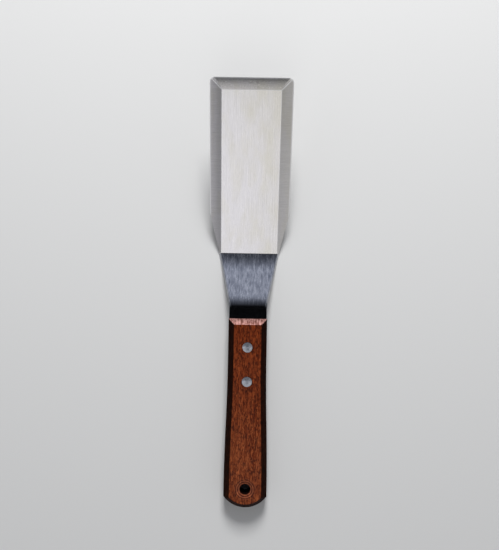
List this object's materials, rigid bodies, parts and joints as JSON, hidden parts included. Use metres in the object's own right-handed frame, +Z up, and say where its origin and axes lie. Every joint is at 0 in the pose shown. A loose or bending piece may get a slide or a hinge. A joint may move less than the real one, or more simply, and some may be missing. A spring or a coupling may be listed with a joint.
{
  "type": "grill spatula",
  "caption": "Griddle turner with a wide bevelled steel blade, a cranked neck and a chamfered wooden handle with a hanging hole.",
  "frame": {"origin": "centre of the bounding box in X and Y, on the surface the tool lies on (lowest point of the crease behind the blade and of the handle's rear end)", "axes": "+Y along the tool towards the blade's front edge, +X across the blade, +Z up"},
  "size_m": [0.067, 0.3537, 0.0561],
  "materials": {
    "blade_steel": "flat brushed along the tool, side and front bevels hollow-ground with marks across them, satin neck",
    "handle_wood": "reddish-brown hardwood, grain along the handle, satin varnish",
    "rivet_steel": "turned rivet heads, fine concentric marks"
  },
  "bodies": {
    "root": {"turner_blade": "blade_steel", "wood_handle": "handle_wood", "front_rivet_male": "rivet_steel", "front_rivet_female": "rivet_steel", "rear_rivet_male": "rivet_steel", "rear_rivet_female": "rivet_steel"}
  },
  "joints": []
}
